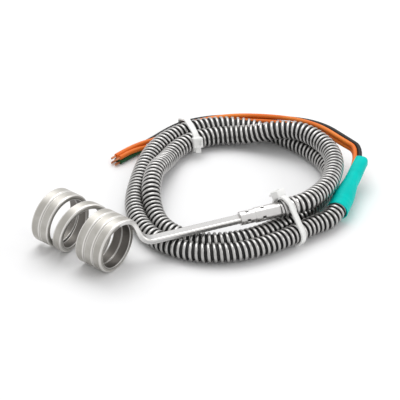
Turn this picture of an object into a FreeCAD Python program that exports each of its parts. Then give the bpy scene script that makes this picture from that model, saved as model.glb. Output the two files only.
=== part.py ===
"""Hot runner coil heater with an armoured lead, lying coiled and tied as supplied.

Frame: millimetres, +Z up.  The origin is the middle of the coil's mouth on the axis of its bore,
+X points along that axis out of the mouth, and the object lies on the plane Z = -coil outer radius.
The heater is a flat mineral-insulated strip wound round the bore.  Its cold end leaves the mouth turn,
crosses the hank of conduit as a straight leg and enters a crimped transition sleeve, where its pins are
joined to the lead wires.  The conduit starts on the sleeve, makes two turns and ends in a shrink sleeve,
from which four leads run outside the hank to their bare ends.
"""
import FreeCAD, Part
import math
import os

import Sketcher
from FreeCAD import Placement, Rotation, Vector

UP = Vector(0, 0, 1)
AXIS = Vector(1, 0, 0)

# alias, value and what it sets; lengths in millimetres, angles in degrees
SIZES = (
    ("bore_diameter", 19.0, "nozzle that the coil slides over"),
    ("strip_width", 4.2, "heater strip, along the bore"),
    ("strip_thickness", 2.2, "heater strip, across the bore wall"),
    ("strip_chamfer", 0.4, "softened edges of the strip"),
    ("close_gap", 0.05, "between turns that lie side by side"),
    ("coil_turns", 5.5, "turns from mouth to tip"),
    ("spread_from", 2.15, "turn where the open stretch starts"),
    ("spread_to", 4.05, "turn where it ends"),
    ("spread", 10.2, "length that the open stretch adds"),
    ("exit_angle", 62.0, "where the strip leaves the mouth turn, from +Y towards +Z"),
    ("tip_length", 0.9, "welded cap on the strip's hot end"),
    ("leg_start_x", 3.7, "where the straight cold leg starts"),
    ("leg_start_y", 15.6, "the same, sideways"),
    ("leg_direction", 58.6, "plan direction of the leg, from +X towards +Y"),
    ("leg_rise", 3.95, "slope of the leg"),
    ("leg_length", 42.5, "straight part of the cold leg"),
    ("leg_clearance", 0.4, "between the leg and the conduit under its start"),
    ("pocket_wall", 0.35, "sheath round the sealed end"),
    ("pocket_depth", 5.0, "depth of the sealed end"),
    ("pin_length", 13.0, "conductor pin, seal included"),
    ("power_pin_diameter", 0.7, "nickel pins of the heating wire"),
    ("power_pin_offset", 1.3, "from the middle of the strip"),
    ("couple_pin_diameter", 0.4, "thermocouple wires"),
    ("couple_pin_offset", 0.32, "from the middle of the strip"),
    ("pin_fit", 0.02, "clearance round each pin"),
    ("power_splice_diameter", 1.3, "crimp that joins a power pin to its lead"),
    ("couple_splice_diameter", 0.56, "crimp that joins a thermocouple wire to its lead"),
    ("splice_length", 5.0, "crimped splices"),
    ("splice_overlap", 2.6, "pin inside its splice"),
    ("sleeve_diameter", 6.2, "transition sleeve, body"),
    ("sleeve_bore", 5.2, "transition sleeve, body bore"),
    ("sleeve_length", 18.5, "transition sleeve, body"),
    ("neck_diameter", 5.6, "transition sleeve, neck crimped on the strip"),
    ("neck_length", 6.5, "transition sleeve, neck"),
    ("neck_fit", 0.04, "clearance between neck and strip"),
    ("crimp_mark", 1.3, "square punch that crimps the sleeve"),
    ("crimp_mark_depth", 0.35, "how deep it leaves its mark"),
    ("conduit_diameter", 8.0, "spiral steel conduit, outside"),
    ("conduit_bore", 6.3, "conduit, inside"),
    ("conduit_grip", 8.0, "sleeve inside the conduit"),
    ("hank_x", -0.5, "middle of the hank"),
    ("hank_y", 72.1, "middle of the hank, sideways"),
    ("hank_radius", 44.8, "mean radius of the outer turn"),
    ("hank_oval", 0.095, "how oval the hank is"),
    ("hank_oval_at", 110.5, "direction of its long axis"),
    ("hank_bulge", 0.048, "its three gentle corners"),
    ("hank_bulge_at", 35.5, "direction of the first of them"),
    ("tie_width", 2.5, "cable tie strap"),
    ("tie_thickness", 0.9, "cable tie strap"),
    ("tie_fit", 0.15, "clearance between strap and conduit"),
    ("front_tie_at", -15.0, "place of the tie at the sleeve, round the hank"),
    ("rear_tie_at", 152.0, "place of the other tie"),
    ("shrink_at", 17.5, "where the shrink sleeve starts, round the hank"),
    ("shrink_length", 33.0, "shrink sleeve over the conduit's end"),
    ("shrink_grip", 7.5, "conduit inside the shrink sleeve"),
    ("shrink_wall", 0.45, "shrink sleeve"),
    ("shrink_waist", 14.0, "where it has narrowed to the leads"),
    ("shrink_fit", 0.05, "clearance on the conduit and the leads"),
    ("lead_diameter", 1.9, "insulated lead wire"),
    ("lead_spacing", 2.15, "between neighbouring leads"),
    ("strand_diameter", 0.9, "stripped conductor at a lead's end"),
    ("strand_length", 3.0, "stripped conductor at a lead's end"),
)

doc = FreeCAD.newDocument("coil_heater")
sheet = doc.addObject("Spreadsheet::Sheet", "Sizes")
for row, (alias, value, purpose) in enumerate(SIZES, start=1):
    sheet.set(f"A{row}", purpose)
    sheet.set(f"B{row}", str(value))
    sheet.setAlias(f"B{row}", alias)
doc.recompute()


def size(alias):
    """A driving dimension, as the sheet holds it."""
    return float(sheet.get(alias))


# ---------------------------------------------------------------- helpers

def smooth(value, start, end):
    """0 before start, 1 after end and an even blend between them."""
    share = min(max((value - start) / (end - start), 0.0), 1.0)
    return share * share * (3 - 2 * share)


def direction(degrees, slope=0.0):
    """Unit vector at a plan direction from +X towards +Y, rising by slope degrees."""
    plan, rise = math.radians(degrees), math.radians(slope)
    return Vector(math.cos(plan) * math.cos(rise), math.sin(plan) * math.cos(rise), math.sin(rise))


def keep(label, shape, placement=None):
    """Put a shape into the document as a sub-part of its own."""
    feature = doc.addObject("Part::Feature", label)
    feature.Label = label
    feature.Shape = shape
    if placement is not None:
        feature.Placement = placement
    sub_parts.append(feature)
    return feature


def bound(kind, name, placement, **expressions):
    """A Part primitive whose properties are tied to the sheet."""
    primitive = doc.addObject(kind, name)
    for property_name, expression in expressions.items():
        primitive.setExpression(property_name, expression)
    primitive.Placement = placement
    return primitive


def along(placement, distance):
    """The placement moved along its own Z."""
    return placement.multiply(Placement(Vector(0, 0, distance), Rotation()))


def finish(label, feature):
    """Name a finished object as a sub-part."""
    feature.Label = label
    sub_parts.append(feature)
    return feature


sub_parts = []

# ---------------------------------------------------------------- heater strip

coil_inner = size("bore_diameter") / 2
coil_outer = coil_inner + size("strip_thickness")
coil_middle = coil_inner + size("strip_thickness") / 2
floor = -coil_outer
exit_angle = math.radians(size("exit_angle"))
BORE_ALLOWANCE = 0.4  # swept past the bore wall, then bored out


def coil_x(turn):
    """Place along the bore of the strip's middle: close turns with one open stretch between them."""
    share = (turn - size("spread_from")) / (size("spread_to") - size("spread_from"))
    share = min(max(share, 0.0), 1.0)
    opened = share - math.sin(2 * math.pi * share) / (2 * math.pi)
    return -size("strip_width") / 2 - (size("strip_width") + size("close_gap")) * turn - size("spread") * opened


def coil_frame(turn):
    """Middle of the strip, its direction away from the mouth and the way out of the bore wall."""
    angle = exit_angle + 2 * math.pi * turn
    outward = Vector(0, math.cos(angle), math.sin(angle))
    onward = Vector(0, -math.sin(angle), math.cos(angle))
    return Vector(coil_x(turn), 0, 0) + outward * coil_middle, onward, outward


def strip_section(middle, across, outward, inward=0.0):
    """Outline of the strip with chamfered outer edges, optionally continued past its inner side."""
    half, deep = size("strip_width") / 2, size("strip_thickness") / 2
    cut = size("strip_chamfer")
    corners = [(-half, -deep - inward), (-half, deep - cut), (cut - half, deep), (half - cut, deep),
               (half, deep - cut), (half, -deep - inward)]
    points = [middle + across * a + outward * b for a, b in corners]
    return Part.makePolygon(points + points[:1])


STATIONS_A_TURN = 20


def coil_solid():
    """The wound part of the strip, before it is bored."""
    count = math.ceil(size("coil_turns") * STATIONS_A_TURN)
    sections = []
    for k in range(count + 1):
        middle, _, outward = coil_frame(size("coil_turns") * k / count)
        sections.append(strip_section(middle, AXIS, outward, BORE_ALLOWANCE))
    return Part.makeLoft(sections, True, True)


def nozzle():
    """The cylinder that bores the coil and the start of its exit bend."""
    reach = 2 * size("strip_width") + size("leg_start_x")
    return Part.makeCylinder(coil_inner, 2 * reach - coil_x(size("coil_turns")), Vector(reach, 0, 0), -AXIS)


# the straight cold leg: it clears the outer conduit turn and lands on the inner one
leg_way = direction(size("leg_direction"), size("leg_rise"))
leg_across = leg_way.cross(UP).normalize()
leg_up = leg_across.cross(leg_way)
tie_lift = size("tie_thickness") + size("tie_fit")
leg_height = floor + size("conduit_diameter") + size("strip_thickness") / 2 + size("leg_clearance")
leg_start = Vector(size("leg_start_x"), size("leg_start_y"), leg_height)
leg_end = leg_start + leg_way * size("leg_length")
EXIT_SECTIONS = 9
EXIT_REACH = 0.42  # of the bend's own length, at each end


def exit_bend():
    """The strip's bend from the mouth turn to the cold leg, turning its flat side up on the way."""
    start, onward, outward = coil_frame(0)
    leaving = -onward
    reach = (leg_start - start).Length * EXIT_REACH
    curve = Part.BezierCurve()
    curve.setPoles([start, start + leaving * reach, leg_start - leg_way * reach, leg_start])
    sections = [strip_section(start, AXIS, outward)]
    for k in range(1, EXIT_SECTIONS - 1):
        share = k / (EXIT_SECTIONS - 1)
        way = curve.tangent(share)[0]
        facing = outward * (1 - smooth(share, 0, 1)) + leg_up * smooth(share, 0, 1)
        across = way.cross(facing).normalize()
        sections.append(strip_section(curve.value(share), across, across.cross(way)))
    sections.append(strip_section(leg_start, leg_across, leg_up))
    return Part.makeLoft(sections, True, False)


lead_line = Placement(leg_end, Rotation(leg_across * -1, leg_up, leg_way, "ZXY"))
pocket_width = size("strip_width") - 2 * size("pocket_wall")
pocket_height = size("strip_thickness") - 2 * size("pocket_wall")


def end_block(width, height, depth):
    """A block reaching back from the strip's cold end, centred on the lead line."""
    block = Part.makeBox(width, height, depth, Vector(-width / 2, -height / 2, -depth))
    block.Placement = lead_line
    return block


leg = Part.Face(strip_section(leg_start, leg_across, leg_up)).extrude(leg_way * size("leg_length"))
pocket = end_block(pocket_width, pocket_height, size("pocket_depth"))
strip = coil_solid().multiFuse([exit_bend(), leg]).cut([pocket, nozzle()])
keep("heater_sheath", strip)

tip_middle, tip_way, tip_out = coil_frame(size("coil_turns"))
tip_face = Part.Face(strip_section(tip_middle, AXIS, tip_out))
cap = tip_face.extrude(tip_way * size("tip_length")).cut(strip)
keep("tip_cap", max(cap.Solids, key=lambda solid: solid.Volume))

# ---------------------------------------------------------------- conductors at the cold end

PINS = (
    ("power_pin_1", -1, "power"),
    ("thermocouple_positive", -1, "couple"),
    ("thermocouple_negative", 1, "couple"),
    ("power_pin_2", 1, "power"),
)
pin_start = -size("pocket_depth")
splice_start = pin_start + size("pin_length") - size("splice_overlap")
pin_holes = []
PIN_SIDES = 8


def rod(radius, length):
    """A many-sided rod standing on the origin."""
    rim = [direction(360 * k / PIN_SIDES) * radius for k in range(PIN_SIDES)]
    return Part.Face(Part.makePolygon(rim + rim[:1])).extrude(UP * length)


for name, side, kind in PINS:
    centre = lead_line.multiply(Placement(Vector(side * size(f"{kind}_pin_offset"), 0, 0), Rotation()))
    pin = bound("Part::Prism", name, along(centre, pin_start),
                Circumradius=f"Sizes.{kind}_pin_diameter / 2", Height="Sizes.pin_length")
    pin.Polygon = PIN_SIDES
    finish(name, pin)
    barrel = bound("Part::Prism", f"{name}_crimp", along(centre, splice_start),
                   Circumradius=f"Sizes.{kind}_splice_diameter / 2", Height="Sizes.splice_length")
    barrel.Polygon = 6
    socket = bound("Part::Prism", f"{name}_socket", along(centre, splice_start),
                   Circumradius=f"Sizes.{kind}_pin_diameter / 2 + Sizes.pin_fit",
                   Height="Sizes.splice_overlap + Sizes.pin_fit")
    socket.Polygon = PIN_SIDES
    crimp = doc.addObject("Part::Cut", f"{name}_splice")
    crimp.Base, crimp.Tool = barrel, socket
    finish(f"{name}_splice", crimp)
    hole = rod(size(f"{kind}_pin_diameter") / 2 + size("pin_fit"), size("pin_length"))
    hole.Placement = along(centre, pin_start)
    pin_holes.append(hole)

keep("end_seal", end_block(pocket_width, pocket_height, size("pocket_depth")).cut(pin_holes))

# the potting fills the sleeve's bore from the strip's end to the splices
potting = Part.makeCylinder(size("sleeve_bore") / 2, splice_start - size("pin_fit"))
potting.Placement = lead_line
keep("sleeve_potting", potting.cut(pin_holes))

# ---------------------------------------------------------------- transition sleeve


def origin_feature(body, role):
    """One of a body's own planes or axes."""
    return next(feature for feature in body.Origin.OriginFeatures if feature.Role == role)


def sketch_on(body, role, name):
    """A sketch on one of the body's own planes."""
    sketch = body.newObject("Sketcher::SketchObject", name)
    sketch.AttachmentSupport = (origin_feature(body, role), [""])
    sketch.MapMode = "FlatFace"
    return sketch


def outline(sketch, corners):
    """A closed outline whose corners are given as pairs of sheet expressions."""
    count = len(corners)
    for k in range(count):
        turn, following = 2 * math.pi * k / count, 2 * math.pi * (k + 1) / count
        start = Vector(10 * math.cos(turn), 10 * math.sin(turn), 0)
        end = Vector(10 * math.cos(following), 10 * math.sin(following), 0)
        sketch.addGeometry(Part.LineSegment(start, end), False)
    for k, (across, upward) in enumerate(corners):
        sketch.addConstraint(Sketcher.Constraint("Coincident", k - 1 if k else count - 1, 2, k, 1))
        for kind, expression in (("DistanceX", across), ("DistanceY", upward)):
            index = sketch.addConstraint(Sketcher.Constraint(kind, -1, 1, k, 1, 1.0))
            sketch.setExpression(f"Constraints[{index}]", expression)


def turned(body, name, corners):
    """A solid of revolution about the body's Z axis, from an outline of (radius, height) pairs."""
    profile = sketch_on(body, "XZ_Plane", f"{name}_profile")
    outline(profile, corners)
    revolution = body.newObject("PartDesign::Revolution", name)
    revolution.Profile = profile
    revolution.ReferenceAxis = (profile, ["V_Axis"])
    revolution.Angle = 360
    profile.Visibility = False
    return revolution


sleeve = doc.addObject("PartDesign::Body", "transition_sleeve")
neck, barrel = "Sizes.neck_diameter / 2", "Sizes.sleeve_diameter / 2"
turned(sleeve, "sleeve_blank", [
    ("Sizes.strip_chamfer", "-Sizes.neck_length"),
    (neck, "-Sizes.neck_length"),
    (neck, "-Sizes.strip_chamfer"),
    (barrel, "0 * Sizes.neck_length"),
    (barrel, "Sizes.sleeve_length"),
    ("Sizes.strip_chamfer", "Sizes.sleeve_length"),
])
slot = sketch_on(sleeve, "XY_Plane", "strip_slot_outline")
half_slot = "(Sizes.strip_width / 2 + Sizes.neck_fit)"
slot_height = "(Sizes.strip_thickness / 2 + Sizes.neck_fit)"
outline(slot, [(f"-{half_slot}", f"-{slot_height}"), (half_slot, f"-{slot_height}"),
               (half_slot, slot_height), (f"-{half_slot}", slot_height)])
strip_slot = sleeve.newObject("PartDesign::Pocket", "strip_slot")
strip_slot.Profile = slot
strip_slot.Type = "ThroughAll"
strip_slot.Midplane = True
doc.recompute()
bore = sleeve.newObject("PartDesign::SubtractiveCylinder", "sleeve_barrel_bore")
bore.setExpression("Radius", "Sizes.sleeve_bore / 2")
bore.setExpression("Height", "Sizes.sleeve_length")
for row, (place, diameter) in enumerate((("-Sizes.neck_length / 2", neck), ("Sizes.neck_length / 2", barrel))):
    punch = sleeve.newObject("PartDesign::SubtractiveBox", f"crimp_mark_{row + 1}")
    for side in ("Length", "Width", "Height"):
        punch.setExpression(side, "Sizes.crimp_mark")
    punch.AttachmentSupport = (origin_feature(sleeve, "XY_Plane"), [""])
    punch.MapMode = "FlatFace"
    punch.setExpression(".AttachmentOffset.Base.x", "-Sizes.crimp_mark / 2")
    punch.setExpression(".AttachmentOffset.Base.y", f"{diameter} - Sizes.crimp_mark_depth")
    punch.setExpression(".AttachmentOffset.Base.z", f"{place} - Sizes.crimp_mark / 2")
    ring = sleeve.newObject("PartDesign::PolarPattern", f"crimp_ring_{row + 1}")
    ring.Originals = [punch]
    ring.Axis = (origin_feature(sleeve, "Z_Axis"), [""])
    ring.Angle = 360
    ring.Occurrences = 4
    sleeve.Tip = ring
sleeve.Placement = lead_line
finish("transition_sleeve", sleeve)

# ---------------------------------------------------------------- route of the conduit

conduit_radius = size("conduit_diameter") / 2
hank_middle = Vector(size("hank_x"), size("hank_y"), 0)
TURN = 360.0
JOIN_AT = 10.0  # plan direction where the conduit climbs onto the hank and its far end leaves it
# where the lead-in lies beside the outer line while it climbs onto the hank: (angle, offset)
LEAD_IN = ((-16, -8.5), (4, -4.6), (20, -3.6), (39, -3.0), (62, 0.0))
DEPARTS = 3.2  # how far outwards the far end has moved where the shrink sleeve starts
DEPARTS_FROM = -12.0  # where it starts to
LAST_ANGLE = 2 * TURN + size("shrink_at")


def hank_outline(angle):
    """Plan radius of the outer turn: an oval with three gentle corners."""
    oval = size("hank_oval") * math.cos(math.radians(2 * (angle - size("hank_oval_at"))))
    bulge = size("hank_bulge") * math.cos(math.radians(3 * (angle - size("hank_bulge_at"))))
    return size("hank_radius") * (1 + oval + bulge)


def hank_point(angle, offset, height):
    """A point beside the outer turn: offset outwards from it and at a height above the floor."""
    return hank_middle + direction(angle) * (hank_outline(angle) + offset) + UP * (floor + height)


def lying_height(angle):
    """Height of the lower turn's middle: it rests on the two ties and sags to the floor between them."""
    nearest = (size("front_tie_at") + size("rear_tie_at") - TURN / 2) / 2
    share = 0.5 + 0.5 * math.cos(math.radians(2 * (angle - nearest)))
    return conduit_radius + tie_lift * smooth(share, 0, 0.95)


def upper_tilt(angle):
    """Tilt of the upper turn round the lower one: above it at first, inside it after the rear."""
    leaning = smooth(angle, 180, 212) * (1 - smooth(angle, 225, 258))
    return 90 + 90 * smooth(angle, 80, 128) - 38 * leaning


def conduit_at(angle):
    """Offset and height of the conduit after an angle from its start, counted over all its turns."""
    height = lying_height(angle)
    if angle >= TURN:
        offset = size("conduit_diameter") * (smooth(angle, TURN + 22, TURN + 66) - 1)
        leaving = max(angle - 2 * TURN - DEPARTS_FROM, 0) / (size("shrink_at") - DEPARTS_FROM)
        return offset + DEPARTS * leaving ** 1.5, height
    if angle < LEAD_IN[-1][0]:
        for (start, first), (end, second) in zip(LEAD_IN, LEAD_IN[1:]):
            if angle <= end:
                share = (angle - start) / (end - start)
                return first + (second - first) * share, height + size("conduit_diameter")
    tilt = math.radians(upper_tilt(angle))
    rise = size("conduit_diameter") * math.sin(tilt)
    return size("conduit_diameter") * math.cos(tilt), height + rise


def conduit_point(angle):
    """Middle of the conduit after an angle from its start."""
    return hank_point(angle, *conduit_at(angle))


# ---------------------------------------------------------------- hank of conduit

SECTION_SIDES = 12
HANK_STATIONS = 18  # in each half of the hank


def hank_section(angle):
    """Corners of the outline round the two turns that lie side by side at an angle."""
    middles = (conduit_at(angle), conduit_at(angle + TURN))
    corners = []
    for k in range(SECTION_SIDES):
        facing = 2 * math.pi * k / SECTION_SIDES
        out, rise = math.cos(facing), math.sin(facing)
        offset, height = max(middles, key=lambda middle: middle[0] * out + middle[1] * rise)
        corners.append(hank_point(angle, offset + conduit_radius * out, height + conduit_radius * rise))
    return corners


def face(*corners):
    """A flat face with the given corners."""
    return Part.Face(Part.makePolygon([*corners, corners[0]]))


def half_hank(start):
    """Half a turn of the hank from an angle on, both of its layers in one solid with flat facets."""
    step = TURN / 2 / HANK_STATIONS
    sections = [hank_section(start + step * k) for k in range(HANK_STATIONS + 1)]
    faces = [face(*sections[0]), face(*sections[-1])]
    for this, following in zip(sections, sections[1:]):
        for k in range(SECTION_SIDES):
            faces += [face(this[k - 1], this[k], following[k]), face(this[k - 1], following[k], following[k - 1])]
    return Part.Solid(Part.makeShell(faces))


# the two halves also meet through the layer that runs on past the joint
keep("conduit_hank", half_hank(JOIN_AT).fuse(half_hank(JOIN_AT + TURN / 2)))

# ---------------------------------------------------------------- free lengths of conduit and lead

ARC_SHARE = 0.45  # of the shorter run that each bend takes up


def rounded_route(name, points):
    """Straight runs with a tangent arc at each corner; prints the arc radii."""
    edges, radii, start = [], [], points[0]
    for before, corner, after in zip(points, points[1:], points[2:]):
        coming, going = corner - before, after - corner
        turn = coming.getAngle(going)
        reach = ARC_SHARE * min(coming.Length, going.Length)
        radius = reach / math.tan(turn / 2)
        bisector = (going.normalize() - coming.normalize()).normalize()
        first, last = corner - coming * reach, corner + going * reach
        middle = corner + bisector * (radius / math.cos(turn / 2) - radius)
        edges += [Part.LineSegment(start, first).toShape(), Part.Arc(first, middle, last).toShape()]
        radii.append(round(radius, 1))
        start = last
    edges.append(Part.LineSegment(start, points[-1]).toShape())
    print(name, "bend radii", radii)
    return Part.Wire(edges)


def tube(name, points, diameter, sides):
    """A many-sided rod along a route; its volume is compared with section times length."""
    route = rounded_route(name, points)
    way = (points[1] - points[0]).normalize()
    across = way.cross(UP).normalize() * (diameter / 2)
    rim = [points[0] + Rotation(way, 360 * k / sides).multVec(across) for k in range(sides)]
    profile = Part.makePolygon(rim + rim[:1])
    rod = route.makePipeShell([profile], True, False)
    expected = Part.Face(profile).Area * route.Length
    print(name, "length", round(route.Length, 1), "volume share", round(rod.Volume / expected, 3))
    return rod


def beyond_joint(forward):
    """The space behind or ahead of the plane where the hank's layers meet the free conduit."""
    reach = 2 * size("hank_radius")
    block = Part.makeBox(reach, reach, reach, Vector(0, 0 if forward else -reach, -reach / 2))
    block.Placement = Placement(hank_middle, Rotation(UP, JOIN_AT))
    return block


conduit_start = leg_end + leg_way * (size("sleeve_length") - size("conduit_grip"))
lead_in_route = [conduit_start, conduit_start + leg_way * 10, conduit_point(11), conduit_point(25)]
lead_in = tube("conduit_lead_in", lead_in_route, size("conduit_diameter"), SECTION_SIDES).cut(beyond_joint(True))
sleeve_room = Part.makeCylinder(size("conduit_bore") / 2, size("conduit_grip") + size("pin_fit"),
                                conduit_start, leg_way)
keep("conduit_lead_in", lead_in.cut(sleeve_room))

SHRINK_START_HEIGHT, SHRINK_MOUTH = 5.2, (53.0, 10.2, 10.0)
shrink_start = hank_point(LAST_ANGLE, conduit_at(LAST_ANGLE)[0], SHRINK_START_HEIGHT)
shrink_way = (hank_point(*SHRINK_MOUTH) - shrink_start).normalize()
conduit_finish = shrink_start + shrink_way * size("shrink_grip")
end_route = [conduit_point(LAST_ANGLE - 32), conduit_point(LAST_ANGLE - 20), shrink_start - shrink_way * 5,
             conduit_finish]
end_piece = tube("conduit_end", end_route, size("conduit_diameter"), SECTION_SIDES)
keep("conduit_end", end_piece.cut(beyond_joint(False)))

# ---------------------------------------------------------------- shrink sleeve

shrink = doc.addObject("PartDesign::Body", "heat_shrink")
over_conduit = "(Sizes.conduit_diameter / 2 + Sizes.shrink_fit)"
over_leads = "(Sizes.lead_spacing * 0.7072 + Sizes.lead_diameter / 2 + Sizes.shrink_fit)"
turned(shrink, "shrink_wall", [
    (over_conduit, "0 * Sizes.shrink_grip"),
    (f"{over_conduit} + Sizes.shrink_wall", "0 * Sizes.shrink_grip"),
    (f"{over_conduit} + Sizes.shrink_wall", "Sizes.shrink_grip"),
    (f"{over_leads} + 1.5 * Sizes.shrink_wall", "Sizes.shrink_waist"),
    (f"{over_leads} + 1.5 * Sizes.shrink_wall", "Sizes.shrink_length"),
    (over_leads, "Sizes.shrink_length"),
    (over_leads, "Sizes.shrink_grip + Sizes.shrink_fit"),
    (over_conduit, "Sizes.shrink_grip + Sizes.shrink_fit"),
])
shrink.Placement = Placement(shrink_start, Rotation(UP, shrink_way))
finish("heat_shrink", shrink)

# ---------------------------------------------------------------- leads

# middle of the bundle along the hank, past the shrink sleeve: (angle, offset, height above the floor)
BUNDLE = (
    (76, 8.0, 13.0), (89, 6.5, 12.3), (101, 5.7, 11.4), (114, 5.5, 10.5), (127, 5.5, 9.6), (140, 6.4, 7.4),
    (152, 6.5, 5.4), (164, 6.9, 3.6), (174, 8.3, 2.4), (182, 11.2, 2.1), (190, 16.0, 2.05),
)
BEYOND_MOUTH = 6.0  # the leads stay straight this far out of the shrink sleeve
bundle = [conduit_finish + shrink_way * 0.5, shrink_start + shrink_way * (size("shrink_length") + BEYOND_MOUTH)]
bundle += [hank_point(*station) for station in BUNDLE]


def beside_bundle(k, outer, upper):
    """A point beside the bundle's k-th station, square to the way it runs there."""
    way = (bundle[min(k + 1, len(bundle) - 1)] - bundle[max(k - 1, 0)]).normalize()
    out = way.cross(UP).normalize()
    return bundle[k] + (out * outer + out.cross(way) * upper) * (size("lead_spacing") / 2)


LEAD_SIDES = 6
LEADS = (("orange_1", -1, 1), ("orange_2", -1, -1), ("black", 1, 1), ("green", 1, -1))
for name, outer, upper in LEADS:
    stations = [beside_bundle(k, outer, upper) for k in range(len(bundle))]
    keep(f"lead_{name}", tube(f"lead_{name}", stations, size("lead_diameter"), LEAD_SIDES))
    last_way = (stations[-1] - stations[-2]).normalize()
    strand = bound("Part::Prism", f"lead_{name}_strand", Placement(stations[-1], Rotation(UP, last_way)),
                   Circumradius="Sizes.strand_diameter / 2", Height="Sizes.strand_length")
    strand.Polygon = LEAD_SIDES
    finish(f"lead_{name}_strand", strand)

# ---------------------------------------------------------------- cable ties


def loop_round(circles):
    """The tight loop round circles (x, y, radius): arcs on the circles it touches, joined by tangents."""
    touched = []
    for degree in range(361):
        facing = math.radians(degree + 0.5)
        out, rise = math.cos(facing), math.sin(facing)
        outermost = max(circles, key=lambda c: c[0] * out + c[1] * rise + c[2])
        if not touched or touched[-1] != outermost:
            touched.append(outermost)
    touched.pop()
    facings = []
    for this, following in zip(touched, touched[1:] + touched[:1]):
        step_x, step_y = following[0] - this[0], following[1] - this[1]
        lean = math.acos((this[2] - following[2]) / math.hypot(step_x, step_y))
        facings.append(math.atan2(step_y, step_x) - lean)
    edges = []
    for k, (x, y, radius) in enumerate(touched):
        start = facings[k - 1]
        end = start + (facings[k] - start) % (2 * math.pi)
        rim = [Vector(x + radius * math.cos(a), y + radius * math.sin(a), 0)
               for a in (start, (start + end) / 2, end)]
        edges.append(Part.Arc(*rim).toShape())
        x, y, radius = touched[(k + 1) % len(touched)]
        landing = Vector(x + radius * math.cos(end), y + radius * math.sin(end), 0)
        edges.append(Part.LineSegment(rim[2], landing).toShape())
    return Part.Face(Part.Wire(edges))


HEAD_ALONG, HEAD_OUT, HEAD_WIDE = 4.4, 3.0, 4.2
TAIL_LENGTH = 2.2


def cable_tie(label, angle, rods, facing):
    """A strap round rods (middle, radius), square to the hank, with its head on the side it faces."""
    outer_turn = angle % TURN + TURN
    way = conduit_point(outer_turn + 4) - conduit_point(outer_turn - 4)
    side = way.cross(UP).normalize()
    origin = hank_point(angle, 0, 0)
    grown = [((middle - origin).dot(side), (middle - origin).z, radius + size("tie_fit"))
             for middle, radius in rods]
    outside = [(x, y, radius + size("tie_thickness")) for x, y, radius in grown]
    depth = Vector(0, 0, size("tie_width"))
    strap = loop_round(outside).extrude(depth).cut(loop_round(grown).extrude(depth))
    strap.translate(Vector(0, 0, -size("tie_width") / 2))
    out = Vector(math.cos(math.radians(facing)), math.sin(math.radians(facing)), 0)
    x, y, radius = max(outside, key=lambda c: c[0] * out.x + c[1] * out.y + c[2])
    seat = Placement(Vector(x, y, 0) + out * (radius - size("tie_thickness")), Rotation(Vector(0, 0, 1), facing))
    head = Part.makeBox(HEAD_OUT, HEAD_ALONG, HEAD_WIDE, Vector(0.05, -HEAD_ALONG / 2, -HEAD_WIDE / 2))
    head = head.makeChamfer(0.5, [e for e in head.Edges if e.Vertexes[0].X > 1 and e.Vertexes[1].X > 1])
    tail = Part.makeBox(size("tie_thickness"), TAIL_LENGTH, size("tie_width"),
                        Vector(1.2, HEAD_ALONG / 2, -size("tie_width") / 2))
    tie = strap.multiFuse([piece.transformGeometry(seat.toMatrix()) for piece in (head, tail)])
    keep(label, tie.removeSplitter(), Placement(origin, Rotation(side, UP, side.cross(UP), "ZXY")))


def round_hank(angle):
    """The two layers of the hank at an angle, as rods for a tie."""
    first = angle % TURN
    return [(conduit_point(first), conduit_radius), (conduit_point(first + TURN), conduit_radius)]


front, rear = size("front_tie_at"), size("rear_tie_at")
SLANT = 0.3  # more room for what crosses a tie aslant
outer_way = conduit_point(front + 2 * TURN + 4) - conduit_point(front + 2 * TURN - 4)
to_tie = hank_point(front, 0, 0) - conduit_start
crossing = conduit_start + leg_way * (to_tie.dot(outer_way) / leg_way.dot(outer_way))
cable_tie("cable_tie_front", front, round_hank(front) + [(crossing, conduit_radius + 2 * SLANT)], 125)

tied = 2 + [station[0] for station in BUNDLE].index(rear)
lead_rods = [(beside_bundle(tied, outer, upper), size("lead_diameter") / 2 + SLANT)
             for _, outer, upper in LEADS]
cable_tie("cable_tie_rear", rear, round_hank(rear) + lead_rods, 160)

# ---------------------------------------------------------------- checks and export

doc.recompute()
for feature in doc.Objects:
    if any(state in ("Invalid", "Error") for state in feature.State):
        raise RuntimeError(f"{feature.Name}: {feature.State}")
os.makedirs("parts", exist_ok=True)
for feature in sub_parts:
    shape = feature.Shape
    if shape.isNull() or not shape.isValid() or len(shape.Solids) != 1:
        print("PROBLEM", feature.Label, shape.isNull() or (shape.isValid(), len(shape.Solids)))
    shape.exportStep(f"parts/{feature.Label}.step")
    box = shape.BoundBox
    print(f"{feature.Label:30s} volume {shape.Volume:9.2f} x {box.XMin:7.2f}..{box.XMax:7.2f} "
          f"y {box.YMin:7.2f}..{box.YMax:7.2f} z {box.ZMin:7.2f}..{box.ZMax:7.2f}")
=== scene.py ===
"""Dresses the coil heater: its strip coil, transition sleeve, ribbed conduit, shrink sleeve, leads and ties.

Everything is in metres, in the frame of the solids: the origin is the middle of the coil's mouth, +X points
along the bore out of the mouth and +Z is up.
"""

import logging
import math
from dataclasses import dataclass, field
from enum import Enum, IntEnum
from typing import Callable, Iterable, Sequence

import bmesh
import bpy
from mathutils import Matrix, Vector
from mathutils.geometry import interpolate_bezier


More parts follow.
